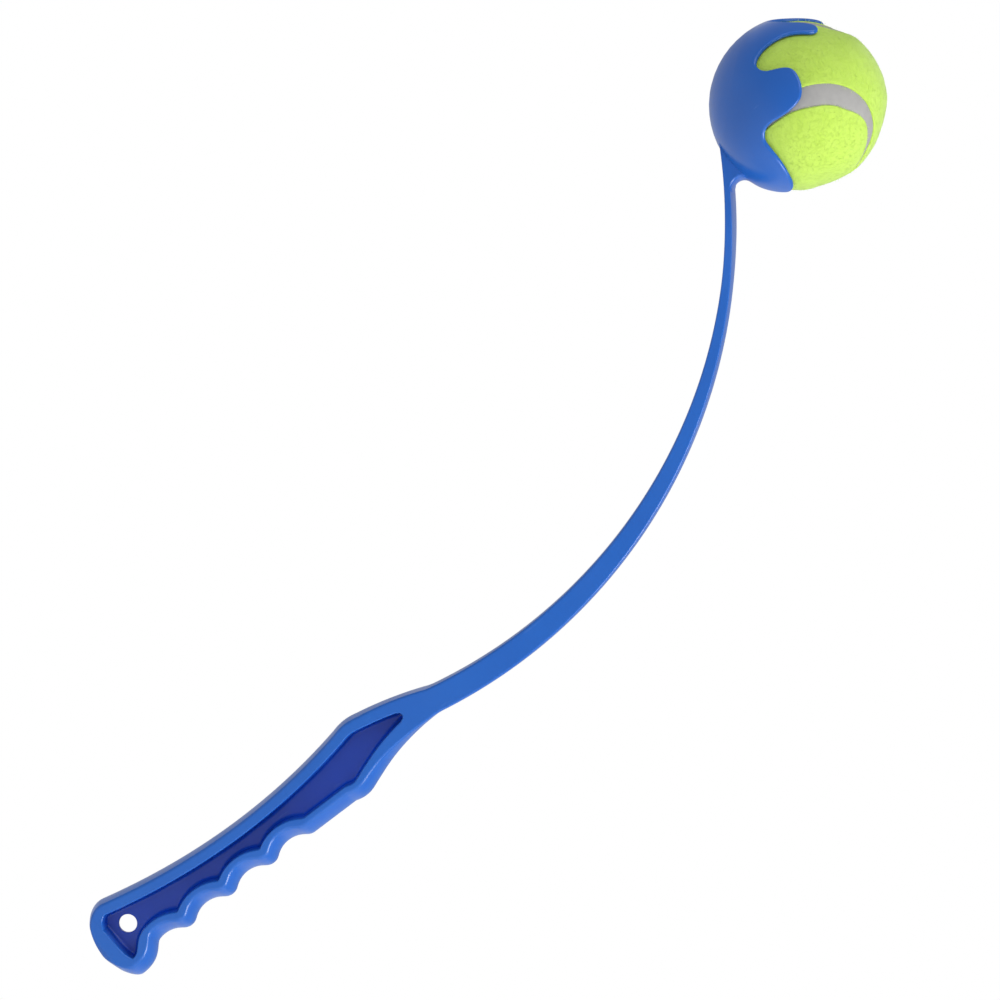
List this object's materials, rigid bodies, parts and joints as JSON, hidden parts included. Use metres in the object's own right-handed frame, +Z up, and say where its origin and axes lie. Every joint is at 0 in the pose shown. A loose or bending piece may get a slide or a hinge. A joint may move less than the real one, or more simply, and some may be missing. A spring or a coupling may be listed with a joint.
{
  "type": "dog ball thrower",
  "caption": "Moulded plastic dog ball thrower: a finger-grooved handle and a long curved springy shaft that ends in an open crown of fingers holding a tennis ball.",
  "frame": {"origin": "middle of the grip, on the wand's mid-plane, on the straight line that runs up the handle", "axes": "+Z up the handle towards the cup, +X towards the finger grooves and the mouth of the cup, +Y across the flat sides"},
  "size_m": [0.1378, 0.0686, 0.4422],
  "materials": {
    "wand_plastic": "moulded polypropylene, satin gloss",
    "ball_felt": "brushed needle felt",
    "seam_rubber": "matt vulcanised seam",
    "core_rubber": "moulded rubber"
  },
  "bodies": {
    "wand": {"thrower": "wand_plastic"},
    "ball": {"felt_panel_a": "ball_felt", "felt_panel_b": "ball_felt", "seam_band": "seam_rubber", "ball_core_half_a": "core_rubber", "ball_core_half_b": "core_rubber"}
  },
  "joints": [
    {"name": "ball_release", "type": "slide", "parent": "wand", "child": "ball", "axis": [0.7513, 0, 0.66], "range_m": [0, 0.075]}
  ]
}
